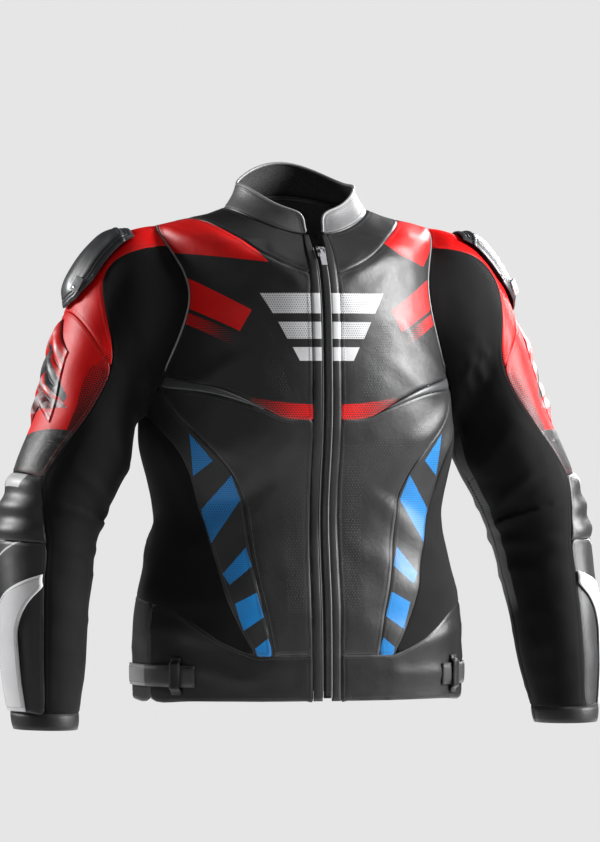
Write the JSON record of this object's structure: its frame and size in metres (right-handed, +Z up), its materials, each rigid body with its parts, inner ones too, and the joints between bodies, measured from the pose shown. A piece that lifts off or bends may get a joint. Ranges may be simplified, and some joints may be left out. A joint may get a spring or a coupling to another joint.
{
  "type": "motorcycle jacket",
  "caption": "Worn, hollow motorcycle jacket of black and red leather and black stretch cloth, with moulded shoulder caps.",
  "frame": {"origin": "midway between the two shoulder points, where the wearer's shoulders carry the jacket", "axes": "+Z up the wearer's body, -Y towards the zip at the front, +X towards the wearer's left sleeve"},
  "size_m": [0.7464, 0.2693, 0.6758],
  "materials": {
    "leather_black": "satin",
    "leather_red": "satin",
    "leather_white": "satin",
    "stretch_black": "matte",
    "stretch_blue": "matte",
    "cap_plastic": "satin",
    "zip_metal": "satin",
    "zip_tape": "matte"
  },
  "bodies": {
    "jacket": {"arm_leather_l": "leather_red", "arm_leather_r": "leather_red", "arm_ribs_l": "leather_red", "arm_ribs_r": "leather_red", "back_lower": "leather_black", "back_upper": "leather_black", "chest_l": "leather_black", "chest_r": "leather_black", "chest_wedge_l": "leather_black", "chest_wedge_r": "leather_black", "collar": "leather_black", "cuff_l": "leather_black", "cuff_r": "leather_black", "elbow_ribs_l": "stretch_black", "elbow_ribs_r": "stretch_black", "forearm_band_l": "leather_white", "forearm_band_r": "leather_white", "forearm_l": "leather_black", "forearm_r": "leather_black", "front_l": "leather_black", "front_r": "leather_black", "hip_strap_l": "leather_black", "hip_strap_r": "leather_black", "insert_l": "stretch_blue", "insert_r": "stretch_blue", "placket_l": "leather_black", "placket_r": "leather_black", "shoulder_cap_l": "cap_plastic", "shoulder_cap_r": "cap_plastic", "shoulder_leather_l": "leather_red", "shoulder_leather_r": "leather_red", "side_l": "stretch_black", "side_r": "stretch_black", "sleeve_back_l": "stretch_black", "sleeve_back_r": "stretch_black", "sleeve_front_l": "stretch_black", "sleeve_front_r": "stretch_black", "slider": "zip_metal", "strap_loop_l": "leather_black", "strap_loop_r": "leather_black", "waistband_back": "leather_black", "waistband_front_l": "leather_black", "waistband_front_r": "leather_black", "yoke_back": "leather_black", "yoke_front_l": "leather_black", "yoke_front_r": "leather_black", "zip": "zip_tape"},
    "tab": {"pull_tab": "zip_metal"}
  },
  "joints": [
    {"name": "pull_tab_swing", "type": "hinge", "parent": "jacket", "child": "tab", "pos_m": [0, -0.10273, -0.03111], "axis": [-1, 0, 0], "range_deg": [0, 150]}
  ]
}
